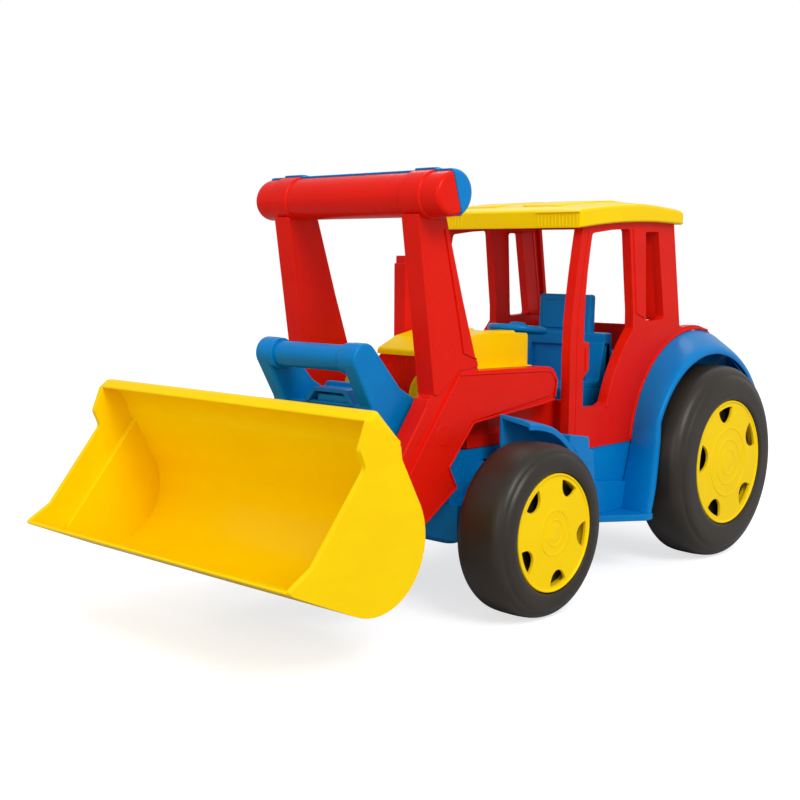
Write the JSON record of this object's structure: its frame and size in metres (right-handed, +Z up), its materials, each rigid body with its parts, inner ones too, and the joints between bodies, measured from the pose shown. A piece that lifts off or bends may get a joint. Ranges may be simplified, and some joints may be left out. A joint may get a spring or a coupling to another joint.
{
  "type": "toy tractor with front loader",
  "caption": "Plastic toy tractor with a front bucket on lifting arms, open cab with roof, seat and steering wheel, fenders and free-rolling wheels",
  "frame": {"origin": "on the ground, under the middle of the whole toy's length and width", "axes": "+X forward to the bucket, +Y to the tractor's left, +Z up"},
  "size_m": [0.6, 0.276, 0.3137],
  "materials": {
    "red_plastic": "satin gloss moulded",
    "blue_plastic": "satin gloss moulded",
    "yellow_plastic": "satin gloss moulded",
    "black_plastic": "matte blown",
    "steel": "plain bright"
  },
  "bodies": {
    "root": {"chassis_tub": "blue_plastic", "nose_body": "red_plastic", "cab_side_left": "red_plastic", "cab_side_right": "red_plastic", "rear_body": "red_plastic", "hood_cover": "yellow_plastic", "roof": "yellow_plastic", "seat": "blue_plastic", "headlight_left": "yellow_plastic", "headlight_right": "yellow_plastic", "exhaust_stack": "red_plastic", "front_fender_left": "blue_plastic", "front_fender_right": "blue_plastic", "rear_fender_left": "blue_plastic", "rear_fender_right": "blue_plastic", "front_axle": "steel", "rear_axle": "steel", "axle_push_nuts": "steel", "steering_column": "blue_plastic", "body_screws": "steel", "lift_pins": "blue_plastic"},
    "loader": {"loader_arm_left": "red_plastic", "loader_arm_right": "red_plastic", "push_bar_front": "red_plastic", "push_bar_rear": "blue_plastic", "tilt_pins": "blue_plastic"},
    "bucket_body": {"bucket": "yellow_plastic", "tilt_lever": "blue_plastic"},
    "front_left_wheel": {"front_tyre_left": "black_plastic", "front_hub_cap_left": "yellow_plastic"},
    "front_right_wheel": {"front_tyre_right": "black_plastic", "front_hub_cap_right": "yellow_plastic"},
    "rear_left_wheel": {"rear_tyre_left": "black_plastic", "rear_hub_cap_left": "yellow_plastic"},
    "rear_right_wheel": {"rear_tyre_right": "black_plastic", "rear_hub_cap_right": "yellow_plastic"},
    "steering": {"steering_wheel": "blue_plastic"}
  },
  "joints": [
    {"name": "loader_lift", "type": "hinge", "parent": "root", "child": "loader", "pos_m": [-0.027, 0, 0.1585], "axis": [0, -1, 0], "range_deg": [0, 45]},
    {"name": "bucket_tilt", "type": "hinge", "parent": "loader", "child": "bucket_body", "pos_m": [0.16, 0, 0.062], "axis": [0, 1, 0], "range_deg": [0, 50]},
    {"name": "front_left_roll", "type": "hinge", "parent": "root", "child": "front_left_wheel", "pos_m": [0.044, 0, 0.0625], "axis": [0, 1, 0], "continuous": true},
    {"name": "front_right_roll", "type": "hinge", "parent": "root", "child": "front_right_wheel", "pos_m": [0.044, 0, 0.0625], "axis": [0, 1, 0], "continuous": true},
    {"name": "rear_left_roll", "type": "hinge", "parent": "root", "child": "rear_left_wheel", "pos_m": [-0.2175, 0, 0.0825], "axis": [0, 1, 0], "continuous": true},
    {"name": "rear_right_roll", "type": "hinge", "parent": "root", "child": "rear_right_wheel", "pos_m": [-0.2175, 0, 0.0825], "axis": [0, 1, 0], "continuous": true},
    {"name": "steering_turn", "type": "hinge", "parent": "root", "child": "steering", "pos_m": [-0.08, 0, 0.196], "axis": [-0.1045, 0, 0.9945], "continuous": true}
  ]
}
